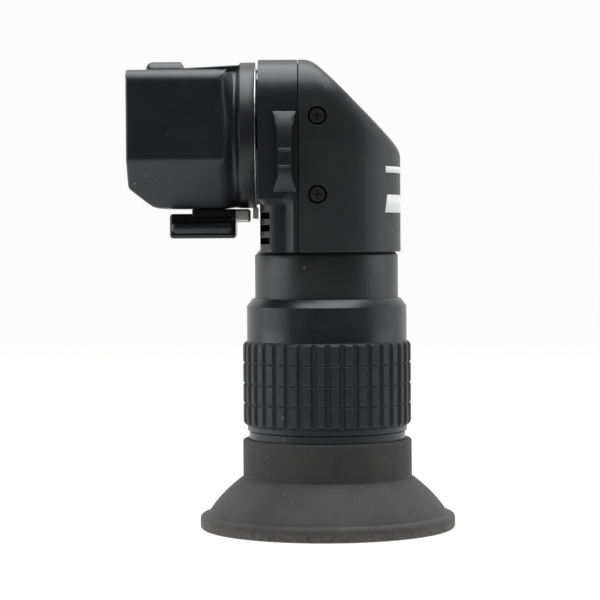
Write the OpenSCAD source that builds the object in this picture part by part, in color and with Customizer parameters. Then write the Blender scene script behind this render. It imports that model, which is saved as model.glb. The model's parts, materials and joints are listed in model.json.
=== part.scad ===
// Right-angle finder: a prism housing with a swivelling camera shoe in front,
// a neck below it, and a focusing eyepiece that ends in a rubber eyecup.
// +X points away from the camera, +Z up, and the finder stands on its eyecup.
// Every module works in the tube's own frame, with the eyepiece axis at x = 0.

/* [Overall] */
// Height from the rim of the eyecup to the top of the housing
total_h = 82; // [80:0.5:84]
// Height of the optical axis that enters from the camera
axis_z = 69.2; // [68.8:0.1:69.6]
// Clearance between a shaft and the bore that it turns or slides in
running_gap = 0.1; // [0.05:0.01:0.1]

/* [Prism housing] */
// Half the width of the housing, and the radius of its round back
housing_r = 13.1; // [12.9:0.05:13.4]
// Height of the underside of the housing
housing_bottom = 48.6; // [48:0.1:49]
// Distance from the eyepiece axis forward to the seam between the housings
seam_x = 4.85; // [4.7:0.05:5]
// Distance from the eyepiece axis forward to the front face
front_x = 11.74; // [11.7:0.02:11.8]
// Radius of the long top edges
top_fillet = 7.5; // [6.5:0.25:8]
// Distance of the sloping back from the point where the axes cross
slope_d = 7.24; // [7.1:0.02:7.5]
// Radius of the edges along the sloping back
slope_fillet = 4; // [3:0.25:5]
// Thickness of the casting's walls
wall = 1.6; // [1.4:0.1:1.7]
// Height where the front housing steps down to its rounded lower part
shoulder_z = 57.3; // [57:0.1:58]
// Radius of the upright corners of the lower part
lower_corner_r = 5.5; // [4.5:0.25:6]

/* [Neck and focusing ring] */
// Outer radius of the neck tube
neck_r = 12.6; // [12.4:0.05:12.7]
// Lower end of the neck tube
neck_bottom = 26.8; // [26.6:0.1:28]
// Radius of the smooth part of the focusing ring
ring_r = 14.08; // [14:0.02:14.3]
// Radius over the ribs of the focusing ring
grip_r = 14.8; // [14.6:0.05:15.2]
// Top of the focusing ring
ring_top = 40.5; // [40:0.1:41]
// Number of ribs round the focusing ring
rib_count = 38; // [30:1:44]

/* [Eyepiece and eyecup] */
// Outer radius of the sliding eyepiece barrel
barrel_r = 11.3; // [11.2:0.05:11.35]
// Radius of the lens bore in the barrel
lens_bore_r = 10.1; // [9.9:0.05:10.2]
// Outer radius of the eyecup's collar
collar_r = 14.9; // [14.5:0.1:15.5]
// Radius of the eyecup over its rim
rim_r = 22.5; // [21:0.25:24]
// Thickness of the rubber
rubber_t = 1.2; // [1:0.1:1.6]

/* [Swivelling camera shoe] */
// Distance from the eyepiece axis to the face that meets the camera
shoe_face = 34.2; // [33.9:0.1:34.5]
// Distance from the eyepiece axis to the back of the block
block_back = 16.8; // [16.75:0.05:16.85]
// Half the width of the block
block_half = 13.5; // [13.2:0.1:14]
// Height of the block's underside
block_bottom = 56.3; // [56.2:0.05:56.4]
// Height of the block's top
block_top = 80; // [79.8:0.1:80.4]
// Half the width of the flat underside, between the long chamfers
block_foot = 5.5; // [5:0.1:6]
// Width of the slot for the camera's eyepiece frame
slot_w = 22.4; // [22:0.1:22.6]
// Width of the gap between the lips that hold the frame
lip_gap = 19.8; // [19:0.1:20.2]
// Radius of the flange that turns against the housing
flange_r = 12.8; // [12.6:0.05:12.8]
// Outer radius of the bush that the shoe turns on
bush_r = 9.83; // [9.7:0.01:9.85]

/* [Magnification lever] */
// Distance from the eyepiece axis forward to the lever's pivot
lever_x = 7.2; // [7.1:0.05:7.3]
// Height of the lever's pivot
lever_z = 65.8; // [65.7:0.1:65.9]
// Length of the lever
lever_l = 13.7; // [12:0.1:14]
// Throw of the lever, in degrees
lever_throw = 40; // [30:1:42]

/* [Hidden] */
$fn = 96;
eps = 0.01;
far = 60;

// The origin is under the middle of the whole object
tube_x = (shoe_face - rim_r) / 2;
black = [0.16, 0.16, 0.17];
inner_black = [0.10, 0.10, 0.11];
steel = [0.62, 0.61, 0.58];
bright = [0.80, 0.80, 0.82];
brass = [0.72, 0.58, 0.30];
glass = [0.75, 0.85, 0.88, 0.5];
rubber = [0.20, 0.20, 0.20];

// Housing
floor_t = 2;
floor_top = housing_bottom + floor_t;
front_wall = 1;
front_inner = front_x - front_wall;
bulkhead_x = 8.9;
housing_screw_x = -1.6;
housing_screw_z = [71.9, 58.5];
head_pocket_r = 1.57;
head_pocket_d = 0.9;
head_r = 1.26;
head_h = 0.75;
shank_r = 0.8;
screw_l = 3.6;
fit_gap = 0.05;
spigot_r = 9.4;
spigot_bore = 8.6;
nut_r = 10.2;
nut_room_r = 10.5;
groove_z = [50.05, 52.25, 54.4];
groove_h = 1.1;
groove_d = 0.9;
groove_end = 9.9;

// Prism and its cradle
prism_leg = 15;
prism_half_w = 6;
ridge_d = 5;
prism_cut = 9.3;
cradle_front = -7.9;
cradle_back = 8;
cheek_in = 6.1;
cheek_out = 7.6;
plate_top = axis_z - prism_leg / 2 - 0.1;
plate_t = 2;

// Swivel
bush_bore = bush_r - 0.73;
bush_end = 18.2;
retainer_r = 10.4;
window_r = 8.85;
retainer_face = block_back + 0.15;
retainer_end = 19.6;
ring_face = 12.2;
ring_seat = 12.6;
click_r = 11.2;
click_ring_r = 12.27;
ear_r = 14.8;
lip_r = 12.32;
lip_face = 12.35;
boss_r = 12.2;
ball_r = 0.6;

// Lock, and the corner radius of the block
lock_screw_at = [-21.2, -1.5];
block_fillet = 2.5;

// Lever and crank: the pin swings equally far each side of upright
crank_r = 3.4;
pin_r = 0.6;
pin_slot_w = 2 * (pin_r + 0.08);
crank_start = -lever_throw / 2;
shaft_r = 1.15;
lever_bush_r = 2;
lever_t = 2.3;
lever_end_t = 0.45;
crown_high = 0.35;
crown_low = -2.8;
ramp_steps = 8;
wall_inner_y = housing_r - wall;
arm_y = [-10.2, -9];

// Eyepiece
lip_bottom = 17.15;
lip_top = 20;
barrel_top = 42;
barrel_foot = 9.6;
field_bore_r = 9.3;
pin_z = 32;
guide_pin_r = 0.6;
barrel_seat_r = 12.6;
seat_ring_r = 13.77;
collar_bottom = 9.1;
collar_top = 15.75;
flare_steps = 10;

// Move a sub-part from the tube's frame to the object's frame
module place() { translate([tube_x, 0, 0]) children(); }

// Tube along Z, or along X about the optical axis
module tube(r_out, r_in, low, high) {
    translate([0, 0, low]) difference() {
        cylinder(r = r_out, h = high - low);
        translate([0, 0, -eps]) cylinder(r = r_in, h = high - low + 2 * eps);
    }
}
module rod_x(r, from, to) {
    translate([from, 0, axis_z]) rotate([0, 90, 0]) cylinder(r = r, h = to - from);
}
module tube_x_axis(r_out, r_in, from, to) {
    difference() {
        rod_x(r_out, from, to);
        rod_x(r_in, from - eps, to + eps);
    }
}
// Block between two opposite corners
module block(a, b) { translate(a) cube(b - a); }

// Lens with two spherical faces: edge radius, ends, and how far each face bulges
module lens(r, low, high, sag_low, sag_high) {
    function ball(s) = (r * r + s * s) / (2 * s);
    rotate_extrude() intersection() {
        translate([0, low]) square([r, high - low]);
        translate([0, low + ball(sag_low)]) circle(r = ball(sag_low), $fn = 900);
        translate([0, high - ball(sag_high)]) circle(r = ball(sag_high), $fn = 900);
    }
}

// Pan-head screw along -Z, with its seat at z = 0 and a cross recess
module pan_screw(r_head, h_head, r_shank, length) {
    difference() {
        union() {
            cylinder(r = r_head, h = h_head);
            translate([0, 0, -length]) cylinder(r = r_shank, h = length + eps);
        }
        for (turn = [0, 90]) rotate([0, 0, turn])
            translate([-r_head * 0.6, -r_head * 0.14, h_head * 0.4])
                cube([r_head * 1.2, r_head * 0.28, h_head]);
    }
}

// Sections of the housing, drawn across its width and extruded along X
module crown_section(inset) {
    half = housing_r - inset;
    r = top_fillet - inset;
    top = total_h - inset;
    translate([-half, 0]) square([2 * half, top - r]);
    translate([-(half - r), 0]) square([2 * (half - r), top]);
    for (side = [-1, 1]) translate([side * (half - r), top - r]) circle(r = r);
}
module slope_section(inset) {
    half = housing_r - inset;
    r = slope_fillet - inset;
    top = slope_d - inset;
    translate([-half, -far]) square([2 * half, far + top - r]);
    translate([-(half - r), -far]) square([2 * (half - r), far + top]);
    for (side = [-1, 1]) translate([side * (half - r), top - r]) circle(r = r);
}
module along_x() { rotate([90, 0, 90]) children(); }

// Filled shape of both housings together, shrunk by inset
module housing_mass(inset, low) {
    intersection() {
        translate([-far / 2, 0, 0]) along_x() linear_extrude(height = far) crown_section(inset);
        translate([0, 0, axis_z]) rotate([0, 45, 0]) translate([-far, 0, 0]) along_x()
            linear_extrude(height = 2 * far) slope_section(inset);
        translate([0, 0, low]) linear_extrude(height = total_h) union() {
            circle(r = housing_r - inset);
            translate([-far, -(housing_r - inset)]) square([far, 2 * (housing_r - inset)]);
        }
    }
}
// Round-cornered plan of the front housing's lower part
module lower_plan(inset) {
    half = housing_r - inset;
    front = front_x - inset;
    r = lower_corner_r - inset;
    translate([-front + r, -half]) square([front, 2 * half]);
    translate([-front, -(half - r)]) square([front, 2 * (half - r)]);
    for (side = [-1, 1]) translate([-front + r, side * (half - r)]) circle(r = r);
}
module housing_screw_places() {
    for (side = [-1, 1], z = housing_screw_z) translate([housing_screw_x, side * housing_r, z])
        rotate([-90 * side, 0, 0]) children();
}

// Back casting that covers the prism
module prism_housing() {
    place() color(black) difference() {
        intersection() {
            housing_mass(0, housing_bottom);
            block([-seam_x, -far, 0], [far, far, far * 2]);
        }
        intersection() {
            housing_mass(wall, floor_top);
            block([-far, -far, 0], [far, far, far * 2]);
        }
        translate([0, 0, housing_bottom - 1]) cylinder(r = spigot_r + fit_gap, h = floor_t + 2);
        housing_screw_places() {
            translate([0, 0, -head_pocket_d]) cylinder(r = head_pocket_r, h = head_pocket_d + 1);
            translate([0, 0, -wall - 1]) cylinder(r = shank_r + 0.1, h = wall + 1);
        }
    }
}

// Front casting: carries the swivel bush, the lever and the click ball
module front_housing() {
    place() color(black) difference() {
        union() {
            intersection() {
                housing_mass(0, shoulder_z);
                block([-front_x, -far, 0], [-seam_x - eps, far, far * 2]);
            }
            intersection() {
                translate([0, 0, housing_bottom]) linear_extrude(height = shoulder_z - housing_bottom + eps)
                    lower_plan(0);
                block([-front_x, -far, 0], [-seam_x - eps, far, far * 2]);
            }
            intersection() {
                rod_x(boss_r, -ring_face + 0.06, -front_x + eps);
                block([-far, -far, 0], [0, far, axis_z - 3]);
            }
        }
        intersection() {
            housing_mass(wall, shoulder_z - 2);
            block([-bulkhead_x, -far, 0], [0, far, far * 2]);
        }
        rod_x(10.4, -front_inner, 0);
        rod_x(bush_r, -front_x - 1, 0);
        translate([0, 0, floor_top]) cylinder(r = nut_room_r, h = shoulder_z - floor_top + 1);
        translate([0, 0, housing_bottom - 1]) cylinder(r = spigot_r + fit_gap, h = floor_t + 2);
        block([-front_inner, -wall_inner_y, lever_z - 3.2], [0, -7.5, lever_z + 5.8]);
        lever_axis() {
            cylinder(r = lever_bush_r, h = housing_r - 0.3);
            cylinder(r = shaft_r + 0.1, h = housing_r + 1);
        }
        translate([-front_x - 1, 0, axis_z + click_r]) rotate([0, 90, 0])
            cylinder(r = ball_r + 0.02, h = 3.1);
        for (z = groove_z) translate([0, 0, z]) linear_extrude(height = groove_h) difference() {
            translate([-far, -far]) square([far - groove_end, far * 2]);
            lower_plan(groove_d);
        }
    }
}

// Four screws that hold the back casting to the cradle
module housing_screws() {
    place() color(steel) housing_screw_places() translate([0, 0, -head_pocket_d])
        pan_screw(head_r, head_h, shank_r, screw_l);
}

// Amici prism: turns the view by a right angle and sets it upright
module roof_prism() {
    half = prism_leg / 2;
    place() color(glass) intersection() {
        translate([0, 0, axis_z]) rotate([90, 0, 0]) linear_extrude(height = 2 * prism_half_w, center = true)
            polygon([[-half, -half], [prism_cut, -half], [prism_cut, -prism_cut + half * 2],
                [-prism_cut + half * 2, prism_cut], [-half, prism_cut]]);
        translate([0, 0, axis_z]) rotate([0, 45, 0]) translate([-far, 0, 0]) along_x()
            linear_extrude(height = 2 * far)
                polygon([[-prism_half_w, -far], [prism_half_w, -far],
                    [prism_half_w, ridge_d - prism_half_w], [0, ridge_d],
                    [-prism_half_w, ridge_d - prism_half_w]]);
    }
}

// Frame that the prism sits in, with threaded bosses for the housing screws
module prism_cradle() {
    low = plate_top - plate_t;
    place() color(inner_black) difference() {
        union() {
            for (side = [-1, 1]) translate([0, side * (cheek_in + cheek_out) / 2, 0]) rotate([90, 0, 0])
                linear_extrude(height = cheek_out - cheek_in, center = true)
                    polygon([[cradle_front, low], [cradle_back, low], [cradle_back, axis_z - 1.7],
                        [-1, axis_z + 7.3], [cradle_front, axis_z + 7.3]]);
            block([cradle_front, -cheek_out, low], [cradle_back, cheek_out, plate_top]);
            block([housing_screw_x - 2.2, -11, low], [housing_screw_x + 2.2, 11, plate_top]);
            for (side = [-1, 1]) translate([housing_screw_x, side * 11.4, 0]) rotate([90 * side, 0, 0]) {
                translate([0, side * housing_screw_z[0], 0]) cylinder(r = 2.2, h = 4);
                translate([0, side * housing_screw_z[1], 0]) cylinder(r = 2.2, h = 2.8);
            }
        }
        translate([0, 0, low - 1]) cylinder(r = 6.8, h = plate_t + 2);
        for (side = [-1, 1], z = housing_screw_z) translate([housing_screw_x, side * 12, z])
            rotate([90 * side, 0, 0]) cylinder(r = shank_r + fit_gap, h = 4);
        for (side = [-1, 1]) translate([-5.8, side * 8, axis_z + 5.3]) rotate([90 * side, 0, 0])
            cylinder(r = 0.55, h = 1.8);
    }
}

// Spring strap over the prism
module prism_clip() {
    place() color(steel) difference() {
        union() {
            block([-7.3, -8.05, axis_z + 9.35], [-4.3, 8.05, axis_z + 9.75]);
            for (side = [-1, 1]) translate([0, side * 7.85, 0])
                block([-7.3, -0.2, axis_z + 3.8], [-4.3, 0.2, axis_z + 9.4]);
        }
        translate([-5.8, 0, axis_z + 5.3]) rotate([90, 0, 0]) cylinder(r = 0.55, h = 20, center = true);
    }
}
module prism_clip_screws() {
    place() color(steel) for (side = [-1, 1]) translate([-5.8, side * 8.1, axis_z + 5.3])
        rotate([-90 * side, 0, 0]) pan_screw(1, 0.5, 0.5, 1.8);
}

// Objective under the prism, and the cell that holds it
module objective_lens() {
    place() color(glass) lens(7.05, 55.3, 59, 0.9, 0.5);
}
module objective_cell() {
    place() color(inner_black) {
        tube(8.3, 7.1, 54.9, plate_top - plate_t - fit_gap);
        tube(8.3, 6.4, 54.6, 55.05);
    }
}

// Neck tube, its clamping nut, the field stop and the two guide pins
module neck_tube() {
    inner = barrel_r + running_gap;
    place() color(black) difference() {
        rotate_extrude() polygon([[inner, neck_bottom], [neck_r, neck_bottom],
            [neck_r, housing_bottom - 0.5], [neck_r - 0.5, housing_bottom - eps],
            [spigot_r, housing_bottom - eps], [spigot_r, 54], [spigot_bore, 54],
            [spigot_bore, housing_bottom - 1], [inner, housing_bottom - 1]]);
        for (side = [-1, 1]) translate([0, side * 14, pin_z]) rotate([90 * side, 0, 0])
            cylinder(r = guide_pin_r + fit_gap, h = 4);
    }
}
module neck_nut() {
    place() color(inner_black) tube(nut_r, spigot_r + fit_gap, floor_top + fit_gap, floor_top + 1.8);
}
module field_stop() {
    place() color(inner_black) tube(spigot_bore - fit_gap, 6.4, 50, 50.8);
}
module guide_pins() {
    place() color(steel) for (side = [-1, 1]) translate([0, side * (neck_r - fit_gap), pin_z]) rotate([90 * side, 0, 0])
        cylinder(r = guide_pin_r, h = 1.7);
}

// Bush that the camera shoe turns on, its retaining ring and front window
module swivel_bush() {
    place() color(inner_black) tube_x_axis(bush_r, bush_bore, -bush_end, -front_inner);
}
module swivel_retainer() {
    place() color(inner_black) difference() {
        rod_x(retainer_r, -retainer_end, -retainer_face);
        rod_x(bush_r, -bush_end, 0);
        rod_x(window_r + fit_gap, -retainer_end + 0.3, 0);
        rod_x(window_r - 0.65, -retainer_end - 1, 0);
    }
}
module front_window() {
    place() color(glass) rod_x(window_r, -retainer_end + 0.35, -bush_end - fit_gap);
}

// Sprung ball that clicks into the ring's dimples
module click_ball() {
    place() color(bright) translate([-ring_face + fit_gap + ball_r, 0, axis_z + click_r]) sphere(r = ball_r);
}
module click_spring() {
    place() color(steel) translate([-10.9, 0, axis_z + click_r]) rotate([0, 90, 0]) difference() {
        cylinder(r = 0.5, h = 1.2);
        translate([0, 0, -eps]) cylinder(r = 0.3, h = 1.3);
    }
}

// Lever's bearing bush and friction washer, fixed in the side wall
module lever_axis() {
    translate([-lever_x, 0, lever_z]) rotate([90, 0, 0]) children();
}
module lever_tube(r_out, r_in, deep, shallow) {
    place() lever_axis() translate([0, 0, deep]) difference() {
        cylinder(r = r_out, h = shallow - deep);
        translate([0, 0, -eps]) cylinder(r = r_in, h = shallow - deep + 2 * eps);
    }
}
module lever_bush() {
    color(brass) lever_tube(lever_bush_r - 0.02, shaft_r + fit_gap, wall_inner_y, housing_r - 0.35);
}
module lever_washer() {
    color(steel) lever_tube(2.6, shaft_r + 0.08, wall_inner_y - 0.16, wall_inner_y - 0.04);
}

// Section of the shoe's block across its width, shrunk by inset
module block_section(inset) {
    half = block_half - inset;
    low = block_bottom + inset;
    foot = block_foot - inset * (sqrt(2) - 1);
    knee = block_bottom + block_half - block_foot + inset * (sqrt(2) - 1);
    r = block_fillet;
    polygon([[-half, block_top - r], [-half, knee], [-foot, low], [foot, low], [half, knee],
        [half, block_top - r]]);
    translate([-(half - r), block_top - r - eps]) square([2 * (half - r), r + eps]);
    for (side = [-1, 1]) translate([side * (half - r), block_top - r]) circle(r = r);
}
// Plan of the block, with its rear corners rounded
module block_plan() {
    r = block_fillet;
    translate([-shoe_face, -block_half]) square([shoe_face - block_back - r, 2 * block_half]);
    translate([-shoe_face, -(block_half - r)]) square([shoe_face - block_back, 2 * (block_half - r)]);
    for (side = [-1, 1]) translate([-block_back - r, side * (block_half - r)]) circle(r = r);
}
module shoe_screw_places() {
    for (side = [-1, 1], z = [62.6, 77.6]) translate([-shoe_face, side * (z < 70 ? 8 : 11), z])
        rotate([0, -90, 0]) children();
}

// Body of the camera shoe, with its flange, hump and spine
module adapter_block() {
    slot_low = 63;
    place() color(black) difference() {
        union() {
            intersection() {
                translate([-shoe_face, 0, 0]) along_x() linear_extrude(height = shoe_face - block_back)
                    block_section(0);
                translate([0, 0, 40]) linear_extrude(height = 50) block_plan();
                rotate([90, 0, 0]) linear_extrude(height = far, center = true)
                    polygon([[-shoe_face, block_bottom + 3.5], [-shoe_face + 4.2, block_bottom],
                        [0, block_bottom], [0, block_top + 1], [-shoe_face, block_top + 1]]);
            }
            rod_x(flange_r - 0.7, -block_back - eps, -15.7);
            rod_x(flange_r, -15.8, -ring_seat);
            tube_x_axis(flange_r, lip_r, -ring_seat - eps, -lip_face);
            block([-31.1, -8, block_top - eps], [-25.1, 8, 81.7]);
            block([-25.2, -5, block_top - eps], [-15.7, 5, 81]);
        }
        rod_x(bush_r + running_gap, -block_back - 1, 0);
        rod_x(10.6, -20.2, -block_back - 0.1);
        block([-31.3, -9.2, axis_z - 8], [-20.1, 9.2, axis_z + 8]);
        block([-28, -4.5, block_bottom + 1.9], [-18.7, 4.5, axis_z - 7.9]);
        block([-26, -1.6, block_bottom - 1], [-19.2, 1.6, block_bottom + 2]);
        block([-shoe_face + 1.3, -slot_w / 2, slot_low], [-31.2, slot_w / 2, far * 2]);
        intersection() {
            translate([-shoe_face - 1, 0, 0]) along_x() linear_extrude(height = 2.3) block_section(1.2);
            block([-far, -far, 61.2], [0, far, far * 2]);
        }
        block([-shoe_face - 1, -lip_gap / 2, slot_low + 1.6], [-31.3, lip_gap / 2, far * 2]);
        shoe_screw_places() translate([0, 0, -3.5]) cylinder(r = 0.65, h = 3);
        click_screw_places() translate([0, 0, -2.6]) cylinder(r = 0.5, h = 3);
    }
}

// Bright ring on the flange: four dimples for the ball, and a stop ear below
module click_screw_places() {
    for (turn = [45, 165, 285]) translate([-ring_face, 0, axis_z]) rotate([turn, 0, 0])
        translate([0, 0, click_r]) rotate([0, 90, 0]) children();
}
module click_ring() {
    place() color(bright) difference() {
        union() {
            rod_x(click_ring_r, -ring_seat, -ring_face);
            intersection() {
                rod_x(ear_r, -lip_face + fit_gap, -ring_face);
                block([-13, -2, 50], [-12, 2, axis_z]);
            }
            intersection() {
                tube_x_axis(ear_r, flange_r + fit_gap, -ring_seat - 0.25, -ring_face + 0.25);
                block([-13, -2, 50], [-11, 2, axis_z]);
            }
        }
        rod_x(10.1, -ring_seat - 1, 0);
        for (turn = [0 : 90 : 270]) translate([-ring_face + 0.45, 0, axis_z]) rotate([turn, 0, 0])
            translate([0, 0, click_r]) sphere(r = 0.6);
        click_screw_places() {
            translate([0, 0, -0.25]) cylinder(r = 0.75, h = 1);
            translate([0, 0, -1]) cylinder(r = 0.5, h = 2);
        }
    }
}
module click_ring_screws() {
    place() color(steel) click_screw_places() {
        translate([0, 0, -0.23]) cylinder(r = 0.7, h = 0.2);
        translate([0, 0, -2.4]) cylinder(r = 0.45, h = 2.2);
    }
}

// Plate whose lips hold the camera's eyepiece frame, and its screws
module shoe_plate() {
    place() color(black) difference() {
        intersection() {
            translate([-shoe_face, 0, 0]) along_x() linear_extrude(height = 1.28) block_section(1.25);
            block([-far, -far, 61.25], [0, far, block_top]);
        }
        block([-shoe_face - 1, -lip_gap / 2, 64.6], [-31.3, lip_gap / 2, far * 2]);
        shoe_screw_places() {
            translate([0, 0, -0.7]) cylinder(r = 1.1, h = 2);
            translate([0, 0, -3]) cylinder(r = 0.65, h = 3);
        }
    }
}
module shoe_plate_screws() {
    place() color(steel) shoe_screw_places() translate([0, 0, -0.68]) pan_screw(1, 0.55, 0.6, 2.5);
}

// Two bowed strips that press on the sides of the camera's eyepiece frame
module rail_springs() {
    bow_r = 40;
    place() color(steel) for (side = [-1, 1]) intersection() {
        block([-shoe_face + 1.4, -far, 66.7], [-31.3, far, 75.3]);
        translate([-33, side * (slot_w / 2 - 0.45 + bow_r), 71]) rotate([0, 90, 0]) difference() {
            cylinder(r = bow_r, h = 2);
            translate([0, 0, -eps]) cylinder(r = bow_r - 0.2, h = 3);
        }
    }
}

// Lock: a tab under the block, carried by a steel slider and a screw
module lock_tab() {
    place() color(black) difference() {
        union() {
            block([-27.3, -5.5, 51.1], [-15.8, 5.5, 55.4]);
            block([-23.4, -5.5, 55.3], [-15.8, 5.5, block_bottom - fit_gap]);
            for (side = [-1, 1]) translate([-26.9, side * 5.5, 53]) rotate([0, 90, 0])
                cylinder(r = 1.05, h = 10.7);
        }
        block([-22.85, -4.55, 53.85], [-15, 1.55, far]);
        translate([lock_screw_at[0], lock_screw_at[1], 51]) cylinder(r = 1.3, h = 1.2);
        translate([lock_screw_at[0], lock_screw_at[1], 51]) cylinder(r = 0.75, h = 4);
    }
}
module lock_slider() {
    place() color(steel) difference() {
        union() {
            block([-22.8, -4.5, 53.9], [-13.3, 1.5, block_bottom - 0.1]);
            block([-22.8, -1.5, block_bottom - 0.2], [-19.9, 1.5, 58.3]);
            block([-24, -3.2, 58.25], [-19.85, 3.2, 59]);
        }
        translate([lock_screw_at[0], lock_screw_at[1], 53]) cylinder(r = 0.75, h = 2.9);
    }
}
module lock_screw() {
    place() color(steel) translate([lock_screw_at[0], lock_screw_at[1], 52.15]) rotate([180, 0, 0]) pan_screw(1.2, 0.8, 0.7, 3.6);
}

// Bow-tie lever on the side wall: a crown, and two ramps that curve down to the ends
module magnifier_lever() {
    half = lever_l / 2;
    function ramp(t, power) = lever_t - (lever_t - lever_end_t) * pow(t, power);
    up = [for (i = [0 : ramp_steps]) let (t = i / ramp_steps)
        [-housing_r - 0.2 - ramp(t, 2.4), lever_z + crown_high + (half - crown_high) * t]];
    down = [for (i = [ramp_steps : -1 : 0]) let (t = i / ramp_steps)
        [-housing_r - 0.2 - ramp(t, 2), lever_z + crown_low - (half + crown_low) * t]];
    place() color(black) difference() {
        intersection() {
            lever_axis() translate([0, 0, housing_r + 0.2]) linear_extrude(height = lever_t + 1)
                polygon([[-2, half], [-1.25, 2.5], [-1.25, -3.9], [-2, -half], [2, -half], [1.25, -3.9],
                    [1.25, 2.5], [2, half]]);
            translate([-lever_x - 5, 0, 0]) along_x() linear_extrude(height = 10)
                polygon(concat(down, up, [[0, lever_z + half], [0, lever_z - half]]));
        }
        lever_axis() translate([0, 0, housing_r]) cylinder(r = 0.9, h = 1.2);
    }
}
module lever_shaft() {
    place() color(steel) lever_axis() {
        difference() {
            translate([0, 0, 10.3]) cylinder(r = shaft_r, h = housing_r - 10.3 + 0.18);
            translate([0, 0, 10]) cylinder(r = 0.55, h = 1.8);
        }
        translate([0, 0, housing_r + 0.1]) cylinder(r = 0.88, h = 1);
    }
}
// Crank on the inner end of the shaft; its pin drives the magnifier's slot
module crank_plate() {
    place() color(steel) lever_axis() difference() {
        union() {
            translate([0, 0, 10.3]) cylinder(r = 2.4, h = 1);
            rotate([0, 0, -crank_start]) {
                translate([-0.9, 0, 10.3]) cube([1.8, crank_r, 1]);
                translate([0, crank_r, 10.3]) cylinder(r = 1.05, h = 1);
                translate([0, crank_r, 8.95]) cylinder(r = pin_r, h = 1.4);
            }
        }
        translate([0, 0, 9]) cylinder(r = shaft_r + 0.02, h = 3);
    }
}
module crank_screw() {
    place() color(steel) lever_axis() {
        translate([0, 0, 9.7]) cylinder(r = 1.2, h = 0.55);
        translate([0, 0, 10]) cylinder(r = 0.5, h = 1.6);
    }
}

// Sliding cell with two lenses that doubles the magnification
module magnifier_carrier() {
    carrier_r = bush_bore - running_gap;
    pin_x = -lever_x + crank_r * sin(crank_start);
    place() color(inner_black) difference() {
        union() {
            tube_x_axis(carrier_r, 7.6, -17.6, -10.45);
            tube_x_axis(8, 6.9, -15.1, -13.5);
            block([-10.65, arm_y[0], axis_z - 1.8], [-9.95, -7.7, axis_z + 1.8]);
            block([-10.65, arm_y[0], axis_z - 1.8], [-6.7, arm_y[1], axis_z + 1.8]);
        }
        block([pin_x - pin_slot_w / 2, -11, axis_z - 1.2], [pin_x + pin_slot_w / 2, -8, axis_z + 1.2]);
    }
}
module lens_x(r, from, to, sag_from, sag_to) {
    place() color(glass) translate([0, 0, axis_z]) rotate([0, 90, 0]) lens(r, from, to, sag_from, sag_to);
}
module magnifier_front_lens() { lens_x(7.55, -17.2, -15.15, 0.7, 0.3); }
module magnifier_rear_lens() { lens_x(7.55, -13.45, -11.6, 0.3, 0.7); }
module magnifier_lock_ring() {
    place() color(inner_black) tube_x_axis(7.55, 6.9, -17.58, -17.25);
}

// Eyepiece barrel: slides in the neck, keyed by the guide pins
module eyepiece_barrel() {
    place() color(inner_black) difference() {
        rotate_extrude() polygon([[lens_bore_r, barrel_foot], [barrel_seat_r, barrel_foot],
            [barrel_seat_r, lip_bottom - fit_gap], [barrel_r, lip_bottom - fit_gap],
            [barrel_r, 20.05], [10.85, 20.05], [10.85, 20.85], [barrel_r, 20.85],
            [barrel_r, barrel_top], [field_bore_r, barrel_top], [field_bore_r, 31.2], [lens_bore_r, 31.2]]);
        for (side = [-1, 1]) translate([-0.7, side > 0 ? 10.7 : -12.7, 26]) cube([1.4, 2, far]);
    }
}
module field_lens() { place() color(glass) lens(10, 26.1, 31.1, 1.5, 0.4); }
module lens_spacer() { place() color(inner_black) tube(10.05, 9, 16.45, 26); }
module eye_lens() { place() color(glass) lens(10, 11.3, 16.35, 0.6, 1.7); }
module eyepiece_lock_ring() { place() color(inner_black) tube(10.05, 8.9, 10.2, 11.25); }
module focus_snap_ring() { place() color(steel) tube(12.2, 10.9, 20.1, 20.8); }
module eyecup_seat_ring() {
    place() color(inner_black) tube(seat_ring_r, barrel_seat_r + fit_gap, 15.8, lip_bottom - 0.1);
}

// Flare of the eyecup: a quadratic curve from the rim bead up to the collar
function flare(t, inset) = let (low = [rim_r - 1.6, 2.9], mid = [rim_r - 3.6, 6.2],
    high = [collar_r, collar_bottom],
    point = (1 - t) * (1 - t) * low + 2 * t * (1 - t) * mid + t * t * high,
    along = (1 - t) * (mid - low) + t * (high - mid),
    normal = [-along[1], along[0]] / norm(along)) point + inset * normal;
module eyecup() {
    outside = [for (i = [0 : flare_steps]) flare(i / flare_steps, 0)];
    inside = [for (i = [flare_steps : -1 : 0]) flare(i / flare_steps, rubber_t)];
    place() color(rubber) rotate_extrude() polygon(concat(
        [[rim_r - 1.9, 0], [rim_r - 0.5, 0], [rim_r, 0.6], [rim_r, 1.8], [rim_r - 0.8, 2.7]],
        outside,
        [[collar_r, collar_top - 0.3], [collar_r - 0.3, collar_top],
            [barrel_seat_r + fit_gap, collar_top], [barrel_seat_r + fit_gap, barrel_foot - fit_gap],
            [11.2, barrel_foot - fit_gap], [11.2, collar_bottom - 0.4]],
        inside));
}

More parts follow.
